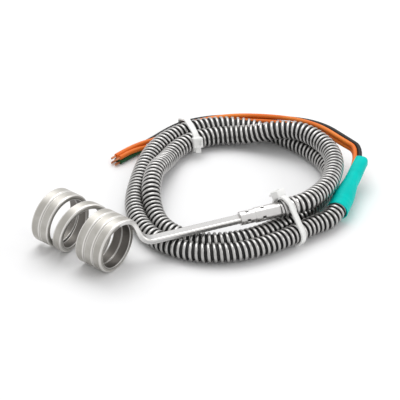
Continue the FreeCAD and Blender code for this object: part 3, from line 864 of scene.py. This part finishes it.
@dataclass
class Leads:
    """Four insulated leads from the shrink sleeve to their bare ends."""

    route: HankRoute
    diameter: float = 1.9 * MM
    spacing: float = 2.15 * MM
    shrink_length: float = 33.0 * MM
    behind: float = 0.5 * MM
    beyond_mouth: float = 5.0 * MM
    resolution: int = 12
    bevel_resolution: int = 4
    wires: int = 7
    wire_radius: float = 0.14 * MM
    wire_sides: int = 8
    wire_steps: int = 8
    strand_length: float = 3.2 * MM
    strand_inside: float = 0.3 * MM
    strand_twist: float = 1.6
    strand_spread: float = 2.05
    strand_flare: float = 0.15
    strand_uneven: float = 0.05
    # along the hank: degrees, mm beyond its outline, mm above the floor, degrees that the bundle has twisted
    bundle: tuple[tuple[float, float, float, float], ...] = (
        (70, 7.7, 12.6, 0), (80, 6.5, 12.8, -4), (91, 5.9, 11.3, -16), (102, 5.9, 8.9, -30),
        (114, 6.4, 6.3, -40), (127, 6.5, 4.7, -40), (140, 6.25, 3.9, -20), (152, 6.0, 3.45, 0),
        (160, 5.85, 2.6, 0), (168, 5.75, 2.28, -12), (175, 7.1, 2.5, -45), (181, 9.2, 2.4, -75),
        (187, 11.6, 2.15, -90), (192, 13.4, 2.05, -90),
    )

    @property
    def tied_at(self) -> int:
        """Which of the stations the rear tie holds."""
        angles = [station[0] for station in self.bundle]
        return len(self.middles()) - len(angles) + angles.index(round(self.route.rear_tie_at))

    def middles(self) -> list[Vector]:
        """Middle of the bundle at each station, the first two inside and beyond the shrink sleeve."""
        start, way = self.route.shrink_start, self.route.shrink_way
        line = [self.route.finish + way * self.behind, start + way * (self.shrink_length + self.beyond_mouth)]
        for angle, offset, height, _ in self.bundle:
            line.append(self.route.point(angle, offset * MM, height * MM))
        return line

    def stations(self, outer: int, upper: int) -> list[Vector]:
        """The points of one lead.

        Args:
            outer: 1 on the outside of the bundle and -1 on its inside.
            upper: 1 on top and -1 below.

        Returns:
            Its control points.
        """
        line = self.middles()
        twists = [0.0] * (len(line) - len(self.bundle)) + [station[-1] for station in self.bundle]
        points = []
        for k, middle in enumerate(line):
            way = (line[min(k + 1, len(line) - 1)] - line[max(k - 1, 0)]).normalized()
            out = way.cross(UP).normalized()
            rise = out.cross(way)
            twist = math.radians(twists[k])
            side = outer * math.cos(twist) - upper * math.sin(twist)
            top = outer * math.sin(twist) + upper * math.cos(twist)
            points.append(middle + (out * side + rise * top) * (self.spacing / 2))
        return points

    def build(self, finishes: dict[str, "bpy.types.Material"]) -> None:
        """Args:
            finishes: material of each colour.
        """
        mouth = self.route.shrink_start + self.route.shrink_way * self.shrink_length
        for lead in Lead:
            name, outer, upper = lead.value
            colour = name.split("_")[0]
            points = self.stations(outer, upper)
            line = spline_points(f"lead_{name}_line", points, self.resolution)
            piece = spline_curve(f"insulated_lead_{name}", points, self.resolution)
            piece.data.bevel_depth = self.diameter / 2
            piece.data.bevel_resolution = self.bevel_resolution
            piece.data.use_fill_caps = True
            piece.data.materials.append(finishes[colour])
            bpy.context.scene.collection.objects.link(piece)
            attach(piece, "root")
            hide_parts(f"lead_{name}")
            strand = self.strand(f"bare_strand_{name}", line[-1], (line[-1] - line[-2]).normalized(),
                                 finishes["copper"])
            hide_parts(f"lead_{name}_strand")

    def strand(self, name: str, start: Vector, way: Vector,
               finish: "bpy.types.Material") -> "bpy.types.Object":
        """The stripped conductor at a lead's end: wires twisted round a middle one.

        Args:
            name: its name.
            start: where the insulation ends.
            way: the way it points.
            finish: its material.

        Returns:
            The strand.
        """
        side = way.cross(UP).normalized()
        rise = side.cross(way)
        section = []
        for k in range(self.wire_sides):
            angle = 2 * math.pi * k / self.wire_sides
            section.append((self.wire_radius * math.cos(angle), self.wire_radius * math.sin(angle)))
        outer_wires = self.wires - 1
        bm = bmesh.new()
        for wire in range(self.wires):
            reach = self.strand_length * (1.0 - self.strand_uneven * (wire % 3))
            points = []
            for step in range(self.wire_steps + 1):
                share = step / self.wire_steps
                turn = 2 * math.pi * wire / outer_wires + share * self.strand_twist
                spread = self.strand_spread * self.wire_radius * (1 + self.strand_flare * share)
                middle = start + way * (reach * share - self.strand_inside)
                if wire < outer_wires:
                    middle += (side * math.cos(turn) + rise * math.sin(turn)) * spread
                points.append(middle)
            add_mesh(bm, sweep(section, carried_frames(points, side)))
        return mesh_object(name, bm, finish)


# ---------------------------------------------------------------- sleeves


def modelled_turning(profile: Sequence[tuple[float, float]], steps: int, place: Matrix,
                     reshape: Callable[[float, float, float], float]) -> bmesh.types.BMesh:
    """A solid of revolution whose radius is changed point by point.

    Args:
        profile: (radius, height) corners.
        steps: facets round the axis.
        place: where its Z axis lies.
        reshape: gives the change of radius from angle, radius and height.

    Returns:
        The placed mesh, with the depth of its dents in a vertex layer named mark.
    """
    bm = turned(profile, steps)
    dent_depth = bm.verts.layers.float.new("dent_depth")
    for vertex in bm.verts:
        radius = vertex.co.xy.length
        if radius > MERGE:
            change = reshape(math.atan2(vertex.co.y, vertex.co.x), radius, vertex.co.z)
            vertex.co.xy *= (radius + change) / radius
            vertex[dent_depth] = -change
    bmesh.ops.transform(bm, matrix=place, verts=bm.verts)
    return bm


@dataclass
class TransitionSleeve:
    """The bright sleeve crimped on the strip's cold end, which carries the conduit."""

    strip: HeaterStrip
    body_radius: float = 3.1 * MM
    body_bore: float = 2.6 * MM
    body_length: float = 18.5 * MM
    neck_radius: float = 2.8 * MM
    neck_length: float = 6.5 * MM
    edge_radius: float = 0.3 * MM
    soft_edge: float = 0.3
    crimp_marks: int = 4
    crimp_mark: float = 1.3 * MM
    crimp_depth: float = 0.35 * MM
    crimp_slope: tuple[float, float] = (-0.2 * MM, 0.12 * MM)
    crimps_end: float = 5.0 * MM
    ring_step: float = 0.22 * MM
    facets: int = 72

    def dent(self, angle: float, radius: float, height: float) -> float:
        """Change of radius under the crimp marks, one ring on the neck and one on the body.

        Args:
            angle: round the sleeve.
            radius: of the point.
            height: along the sleeve, from where its body starts.

        Returns:
            The change of radius.
        """
        if radius < (self.body_bore + self.neck_radius) / 2 or height >= self.crimps_end:
            return 0.0
        across = math.remainder(angle, 2 * math.pi / self.crimp_marks) * radius
        along = abs(height) - self.neck_length / 2
        away = max(abs(across), abs(along)) - self.crimp_mark / 2
        return -self.crimp_depth * (1 - smooth(away, *self.crimp_slope))

    def build(self, finish: "bpy.types.Material") -> None:
        """Makes the sleeve and lets it stand for its solid.

        Args:
            finish: its material.
        """
        edge, soft = self.edge_radius, self.edge_radius * self.soft_edge
        profile = [(0.0, -self.neck_length), (self.neck_radius - edge, -self.neck_length),
                   (self.neck_radius - soft, soft - self.neck_length)]
        count = round(self.neck_length / self.ring_step)
        for k in range(count + 1):
            height = (self.neck_length - 2 * edge) * k / count
            profile.append((self.neck_radius, edge - self.neck_length + height))
        profile.append((self.body_radius - soft, soft - edge / 2))
        count = round(self.body_length / self.ring_step)
        for k in range(count + 1):
            profile.append((self.body_radius, 2 * soft + (self.body_length - edge) * k / count))
        profile += [(self.body_bore, self.body_length), (self.body_bore, 0.0), (0.0, 0.0)]
        upwards = self.strip.leg_across.cross(self.strip.leg_way)
        place = frame_at(self.strip.leg_end, -self.strip.leg_across, upwards)
        bm = modelled_turning(profile, self.facets, place, self.dent)
        piece = mesh_object("crimped_sleeve", bm, finish, sharp=50)
        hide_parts("transition_sleeve")


@dataclass
class ShrinkSleeve:
    """The shrink sleeve over the conduit's end and the start of the leads."""

    route: HankRoute
    length: float = 33.0 * MM
    grip: float = 7.5 * MM
    waist: float = 19.0 * MM
    wall: float = 0.45 * MM
    conduit_radius: float = 4.05 * MM
    leads_radius: float = 2.52 * MM
    leads_wall: float = 1.5  # times the wall, where the sleeve has shrunk most
    taper_run: float = 1.0 * MM
    rib_pitch: float = 2.3 * MM
    rib_relief: float = 0.05 * MM
    lead_relief: float = 0.16 * MM
    unevenness: float = 0.05 * MM
    ripples_round: int = 3
    ripple_twist: float = 400.0  # radians a metre
    rim: float = 0.2 * MM
    rim_walls: tuple[float, float] = (0.8, 1.2)  # times the wall, at the conduit and at the mouth
    step_gap: float = 0.05 * MM
    ring_step: float = 0.4 * MM
    facets: int = 64

    def outside(self, height: float) -> float:
        """Radius of the outside at a height."""
        wide, narrow = self.conduit_radius + self.wall, self.leads_radius + self.leads_wall * self.wall
        tapered = smooth(height, self.grip - self.taper_run, self.waist + self.taper_run)
        return wide + (narrow - wide) * tapered

    def shape(self, angle: float, radius: float, height: float) -> float:
        """Change of radius: ribs and leads that show through, and a little unevenness.

        Args:
            angle: round the sleeve.
            radius: of the point.
            height: along the sleeve, from its end on the conduit.

        Returns:
            The change of radius.
        """
        if radius < self.outside(height) - self.wall / 2:
            return 0.0
        ribs = self.rib_relief * (math.cos(2 * math.pi * height / self.rib_pitch) - 1)
        through_ribs = ribs * (1 - smooth(height, self.grip - self.taper_run, self.grip))
        four_leads = self.lead_relief * (math.cos(len(Lead) * angle) - 1)
        over_leads = four_leads * smooth(height, self.waist, self.length)
        ripples = self.unevenness * (math.sin(self.ripples_round * angle + self.ripple_twist * height) - 1)
        return through_ribs + over_leads + ripples * smooth(height, self.grip, self.waist)

    def build(self, finish: "bpy.types.Material") -> "bpy.types.Object":
        """Makes the sleeve and lets it stand for its solid.

        Args:
            finish: its material.

        Returns:
            The sleeve.
        """
        span = self.length - 2 * self.rim
        count = round(span / self.ring_step)
        first_rim, last_rim = (share * self.wall for share in self.rim_walls)
        profile = [(self.conduit_radius, 0.0), (self.conduit_radius + first_rim, 0.0)]
        for k in range(count + 1):
            height = self.rim + span * k / count
            profile.append((self.outside(height), height))
        step = self.grip + self.step_gap
        profile += [(self.leads_radius + last_rim, self.length), (self.leads_radius, self.length),
                    (self.leads_radius, step), (self.conduit_radius, step), (self.conduit_radius, 0.0)]
        way = self.route.shrink_way
        side = way.cross(UP).normalized()
        place = frame_at(self.route.shrink_start, side, way.cross(side))
        turn = Matrix.Rotation(math.pi / len(Lead), 4, "Z")
        bm = modelled_turning(profile, self.facets, place @ turn, self.shape)
        piece = mesh_object("shrink_sleeve", bm, finish, sharp=50)
        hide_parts("heat_shrink")
        return piece


# ---------------------------------------------------------------- cable ties

SLANT = 0.3 * MM  # room for a rod that a tie crosses aslant


@dataclass
class CableTie:
    """A nylon strap pulled tight round what it holds, with its head and its clipped tail.

    Attributes:
        name: the solid that it stands for.
        angle: where it lies along the hank, in degrees.
        rods: what it holds, as middles and radii.
        facing: which way its head lies, in degrees from outwards to upwards.
        route: the conduit's route.
        skew: how far it is turned from square to the hank, in degrees.
    """

    name: str
    angle: float
    rods: list[tuple[Vector, float]]
    facing: float
    route: HankRoute
    skew: float = 0.0
    width: float = 2.5 * MM
    thickness: float = 0.9 * MM
    fit: float = 0.15 * MM
    # one side of the strap's section: (share of half its width, share of its thickness), from edge to middle
    strap: tuple[tuple[float, float], ...] = ((1.0, 0.75), (0.82, 1.0), (0.6, 1.0), (0.5, 0.86))
    strap_edge: float = 0.1
    head: Vector = field(default_factory=lambda: Vector((3.0 * MM, 4.4 * MM, 4.2 * MM)))
    head_edge: float = 0.45 * MM
    head_gap: float = 0.05 * MM
    recess: float = 0.5 * MM
    tail_length: float = 2.2 * MM
    tail_inside: float = 1.0 * MM
    tail_edge: float = 0.2 * MM
    tail_height: float = 1.2 * MM
    way_step: float = 4.0
    stations: int = 120

    @staticmethod
    def support(circles: Sequence[tuple[float, float, float]], facing: float) -> Vector:
        """Where a strap round circles lies.

        Args:
            circles: (x, y, radius) of each.
            facing: the way that the strap faces there, in radians.

        Returns:
            The flat point of the strap's inside.
        """
        out, rise = math.cos(facing), math.sin(facing)
        x, y, radius = max(circles, key=lambda circle: circle[0] * out + circle[1] * rise + circle[2])
        return Vector((x + radius * out, y + radius * rise, 0))

    def section(self) -> list[tuple[float, float]]:
        """The strap's section: flat inside, with a shallow channel outside."""
        half, thick = self.width / 2, self.thickness
        edge = self.strap_edge * thick
        right = [(half - edge, 0), (half, edge)] + [(half * x, thick * y) for x, y in self.strap]
        return right + [(-x, y) for x, y in reversed(right)]

    def build(self, finish: "bpy.types.Material") -> "bpy.types.Object":
        """Makes the tie and lets it stand for its solid.

        Args:
            finish: its material.

        Returns:
            The tie.
        """
        turn = self.angle % TURN + TURN
        way = self.route.conduit_point(turn + self.way_step) - self.route.conduit_point(turn - self.way_step)
        side = way.cross(UP).normalized()
        origin = self.route.point(self.angle, 0, 0)
        skew = math.radians(self.skew)
        place = frame_at(origin, Matrix.Rotation(skew, 3, "Z") @ side, UP)
        circles = [((middle - origin).dot(side) / math.cos(skew), (middle - origin).z, radius + self.fit)
                   for middle, radius in self.rods]
        first = math.radians(self.facing)
        frames = []
        for k in range(self.stations + 1):
            facing = first + 2 * math.pi * k / self.stations
            outward = Vector((math.cos(facing), math.sin(facing), 0))
            frames.append(place @ frame_at(self.support(circles, facing), UP, outward))
        bm = sweep(self.section(), frames)
        seat = place @ Matrix.Translation(self.support(circles, first)) @ Matrix.Rotation(first, 4, "Z")
        add_mesh(bm, self.head_mesh(seat))
        add_mesh(bm, self.tail_mesh(seat))
        piece = mesh_object(f"{self.name}_strap", bm, finish)
        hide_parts(self.name)
        return piece

    def head_mesh(self, seat: Matrix) -> bmesh.types.BMesh:
        """The head: a rounded box with the recess of its pawl.

        Args:
            seat: where it lies on the strap, its X outwards.

        Returns:
            The mesh.
        """
        bm = rounded_box(self.head, self.head_edge)
        bm.normal_update()
        top = max(bm.faces, key=lambda face: (face.normal.x, face.calc_area()))
        bmesh.ops.inset_region(bm, faces=[top], thickness=self.recess, use_even_offset=True)
        grown = bmesh.ops.extrude_face_region(bm, geom=[top])["geom"]
        sunk = [item for item in grown if isinstance(item, bmesh.types.BMVert)]
        bmesh.ops.delete(bm, geom=[top], context="FACES_ONLY")
        bmesh.ops.translate(bm, vec=(-self.recess, 0, 0), verts=sunk)
        lifted = Matrix.Translation((self.head.x / 2 + self.head_gap, 0, 0))
        bmesh.ops.transform(bm, matrix=seat @ lifted, verts=bm.verts)
        return bm

    def tail_mesh(self, seat: Matrix) -> bmesh.types.BMesh:
        """The clipped end of the strap, past the head.

        Args:
            seat: where the head lies on the strap, its X outwards.

        Returns:
            The mesh.
        """
        size = Vector((self.thickness, self.tail_length + self.tail_inside, self.width))
        bm = rounded_box(size, self.tail_edge)
        beside = (self.head.y + self.tail_length - self.tail_inside) / 2
        middle = Vector((self.tail_height + self.thickness / 2, beside, 0))
        bmesh.ops.transform(bm, matrix=seat @ Matrix.Translation(middle), verts=bm.verts)
        return bm


def cable_ties(route: HankRoute, leads: Leads) -> list[CableTie]:
    """Both ties, with what each holds.

    Args:
        route: the conduit's route.
        leads: the leads that the rear tie also holds.

    Returns:
        The ties.
    """
    front, rear = route.front_tie_at, route.rear_tie_at
    radius = route.diameter / 2

    def round_hank(angle: float) -> list[tuple[Vector, float]]:
        """Both turns of the conduit at an angle, as middles and radii."""
        first = angle % TURN
        return [(route.conduit_point(first), radius), (route.conduit_point(first + TURN), radius)]

    way = (route.conduit_point(front + 2 * TURN + CableTie.way_step)
           - route.conduit_point(front + 2 * TURN - CableTie.way_step))
    leg_way = route.strip.leg_way
    to_tie = route.point(front, 0, 0) - route.start
    crossing = route.start + leg_way * (to_tie.dot(way) / leg_way.dot(way))
    held = []
    for lead in Lead:
        held.append((leads.stations(*lead.value[1:])[leads.tied_at], leads.diameter / 2 + SLANT))
    return [
        CableTie("cable_tie_front", front, round_hank(front) + [(crossing, radius + 2 * SLANT)], facing=125,
                 route=route),
        CableTie("cable_tie_rear", rear, round_hank(rear) + held, facing=160, route=route, skew=-14),
    ]


# ---------------------------------------------------------------- studio


@dataclass(frozen=True)
class Softbox:
    """A square soft light."""

    name: str
    place: tuple[float, float, float]
    size: float
    power: float

    def build(self, aim: Vector) -> None:
        """Hangs the light.

        Args:
            aim: what it points at.
        """
        light = bpy.data.lights.new(self.name, "AREA")
        light.size = self.size
        light.energy = self.power
        lamp = bpy.data.objects.new(self.name, light)
        lamp.location = self.place
        lamp.rotation_euler = (aim - Vector(self.place)).to_track_quat("-Z", "Y").to_euler()
        bpy.context.scene.collection.objects.link(lamp)


@dataclass
class Studio:
    """Floor, soft lights and the camera."""

    floor_height: float
    floor_size: float = 4.0
    floor_colour: tuple[float, float, float] = (0.92, 0.92, 0.925)
    floor_roughness: float = 0.7
    softboxes: tuple[Softbox, ...] = (
        Softbox("overhead_softbox", (-0.25, 0.25, 0.75), 0.7, 3.8),
        Softbox("side_softbox", (0.7, 0.5, 0.4), 0.4, 1.4),
    )
    world_strength: float = 0.68
    camera_at: Vector = field(default_factory=lambda: Vector((0.5676, -0.6955, 0.6022)))
    aim: Vector = field(default_factory=lambda: Vector((-0.002, 0.052, -0.004)))
    roll: float = 2.2
    view_width: float = 0.162
    clip_start: float = 0.05

    def build(self) -> None:
        """Makes the floor, the lights, the world and the camera."""
        self.floor()
        for softbox in self.softboxes:
            softbox.build(self.aim)
        self.world()
        self.camera()

    def floor(self) -> None:
        """A plain pale floor."""
        bm = bmesh.new()
        bmesh.ops.create_grid(bm, x_segments=1, y_segments=1, size=self.floor_size)
        bmesh.ops.translate(bm, vec=(0, 0, self.floor_height), verts=bm.verts)
        mesh = bpy.data.meshes.new("floor")
        bm.to_mesh(mesh)
        bm.free()
        material = bpy.data.materials.new("floor_paper")
        material.use_nodes = True
        shader = material.node_tree.nodes["Principled BSDF"]
        shader.inputs["Base Color"].default_value = (*self.floor_colour, 1)
        shader.inputs["Roughness"].default_value = self.floor_roughness
        mesh.materials.append(material)
        piece = bpy.data.objects.new("floor", mesh)
        bpy.context.scene.collection.objects.link(piece)

    def world(self) -> None:
        """An even world, white to the camera and in reflections."""
        world = bpy.data.worlds.new("studio")
        bpy.context.scene.world = world
        world.use_nodes = True
        nodes, links = world.node_tree.nodes, world.node_tree.links
        background = nodes["Background"]
        background.inputs["Color"].default_value = (1, 1, 1, 1)
        rays = nodes.new("ShaderNodeLightPath")
        strength = nodes.new("ShaderNodeMapRange")
        strength.inputs["To Min"].default_value = self.world_strength
        strength.inputs["To Max"].default_value = 1.0
        seen = rays.outputs["Is Camera Ray"]
        for ray in ("Is Glossy Ray", "Is Transmission Ray"):
            either = nodes.new("ShaderNodeMath")
            either.operation = "MAXIMUM"
            links.new(seen, either.inputs[0])
            links.new(rays.outputs[ray], either.inputs[1])
            seen = either.outputs["Value"]
        links.new(seen, strength.inputs["Value"])
        links.new(strength.outputs["Result"], background.inputs["Strength"])

    def camera(self) -> None:
        """A long lens from the front right, looking down on the object."""
        data = bpy.data.cameras.new("camera")
        camera = bpy.data.objects.new("camera", data)
        camera.location = self.camera_at
        looking = self.aim - self.camera_at
        rolled = Matrix.Rotation(math.radians(self.roll), 3, "Z")
        camera.rotation_euler = (looking.to_track_quat("-Z", "Y").to_matrix() @ rolled).to_euler()
        data.angle = 2 * math.atan(self.view_width / 2 / looking.length)
        data.clip_start = self.clip_start
        bpy.context.scene.collection.objects.link(camera)
        bpy.context.scene.camera = camera


# ---------------------------------------------------------------- finishes of this object

LEG_FROM = 368.0 * MM  # length of strip before its brighter leg
LEG_BLEND = 16.0 * MM  # length over which it brightens

FINISHES = {
    "strip": Finish("strip_steel", (0.4, 0.385, 0.355), (0.48, 0.465, 0.435), metallic=1.0, roughness=0.38,
                    roughness_spread=0.16, patch_scale=160, grain_scale=2600, grain_depth=0.12,
                    # painted shade on the strip's side against the bore, where the coil shades itself
                    masks=(Mask("painted_shade", 0.5, 1.0, (0.12, 0.11, 0.1), 0.42, 0.85),
                           # painted highlight on the end face at the coil's mouth
                           Mask("mouth", 0.1, 0.6, (0.93, 0.92, 0.9), 0.34),
                           Mask("along", LEG_FROM, LEG_FROM + LEG_BLEND, (0.46, 0.455, 0.45), 0.3),
                           # painted highlight on the strip's rounded edges
                           Mask("edge", 0.1, 0.9, (0.78, 0.765, 0.74), 0.26, 0.7))),
    "sleeve": Finish("sleeve_steel", (0.6, 0.59, 0.58), (0.66, 0.65, 0.64), metallic=1.0, roughness=0.26,
                     roughness_spread=0.08, patch_scale=90, grain_scale=1500, grain_depth=0.02,
                     # painted shade in the crimp dents, darker where they are deeper
                     masks=(Mask("dent_depth", 0.12 * MM, 0.3 * MM, (0.03, 0.03, 0.03), 0.6, 0.9),)),
    "conduit": Finish("conduit_steel", (0.45, 0.445, 0.435), (0.53, 0.52, 0.51), metallic=1.0, roughness=0.28,
                      patch_scale=45, grain_scale=1200,
                      # painted shade in the grooves between the ribs
                      masks=(Mask("groove", 0.06, 0.6, (0.05, 0.05, 0.05), 0.7, 1.0),)),
    "shrink": Finish("shrink_sleeve", (0.0, 0.52, 0.465), (0.0, 0.6, 0.535), roughness=0.42, specular=0.08,
                     patch_scale=120),
    "orange": Finish("orange_insulation", (0.78, 0.16, 0.012), (0.86, 0.24, 0.03), roughness=0.42,
                     specular=0.35),
    "black": Finish("black_insulation", (0.01, 0.01, 0.01), (0.02, 0.02, 0.02), roughness=0.45, specular=0.3),
    "green": Finish("green_insulation", (0.012, 0.1, 0.035), (0.02, 0.14, 0.05), roughness=0.42,
                    specular=0.3),
    "copper": Finish("bare_copper", (0.62, 0.28, 0.14), (0.7, 0.38, 0.2), metallic=1.0, roughness=0.35),
    "nylon": Finish("tie_nylon", (0.84, 0.84, 0.825), (0.89, 0.89, 0.875), roughness=0.42, subsurface=0.2),
    "nickel": Finish("pin_nickel", (0.6, 0.58, 0.54), (0.66, 0.64, 0.6), metallic=1.0, roughness=0.3),
    "cement": Finish("potting_cement", (0.72, 0.7, 0.64), (0.78, 0.76, 0.7), roughness=0.8, grain_depth=0.3),
}

SOLID_FINISHES = {
    "sleeve_potting": "cement", "end_seal": "cement", "power_pin_1": "nickel", "power_pin_2": "nickel",
    "thermocouple_positive": "nickel", "thermocouple_negative": "nickel", "power_pin_1_splice": "copper",
    "power_pin_2_splice": "copper", "thermocouple_positive_splice": "copper",
    "thermocouple_negative_splice": "copper",
}


def dress(name: str, finish: "bpy.types.Material") -> None:
    """Gives a solid's mesh its finish.

    Args:
        name: the solid's name.
        finish: its material.
    """
    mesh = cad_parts[name].data
    mesh.materials.clear()
    mesh.materials.append(finish)


def main() -> None:
    logging.basicConfig(level=logging.INFO, format="%(message)s")
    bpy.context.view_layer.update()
    bpy.context.scene.view_settings.view_transform = "Standard"
    strip = HeaterStrip()
    Studio(floor_height=strip.floor).build()
    finishes = {name: finish.build() for name, finish in FINISHES.items()}
    route = HankRoute(strip)
    conduit = Conduit(route)
    hose = conduit.build(finishes["conduit"])
    log.info("conduit made")
    leads = Leads(route)
    leads.build(finishes)
    log.info("leads made")
    strip.build(finishes["strip"])
    log.info("heater strip made")
    TransitionSleeve(strip).build(finishes["sleeve"])
    on_hose = [ShrinkSleeve(route).build(finishes["shrink"])]
    log.info("sleeves made")
    for tie in cable_ties(route, leads):
        on_hose.append(tie.build(finishes["nylon"]))
        log.info("%s made", tie.name)
    conduit.declare()
    for name, finish in SOLID_FINISHES.items():
        dress(name, finishes[finish])


if __name__ == "__main__":
    main()
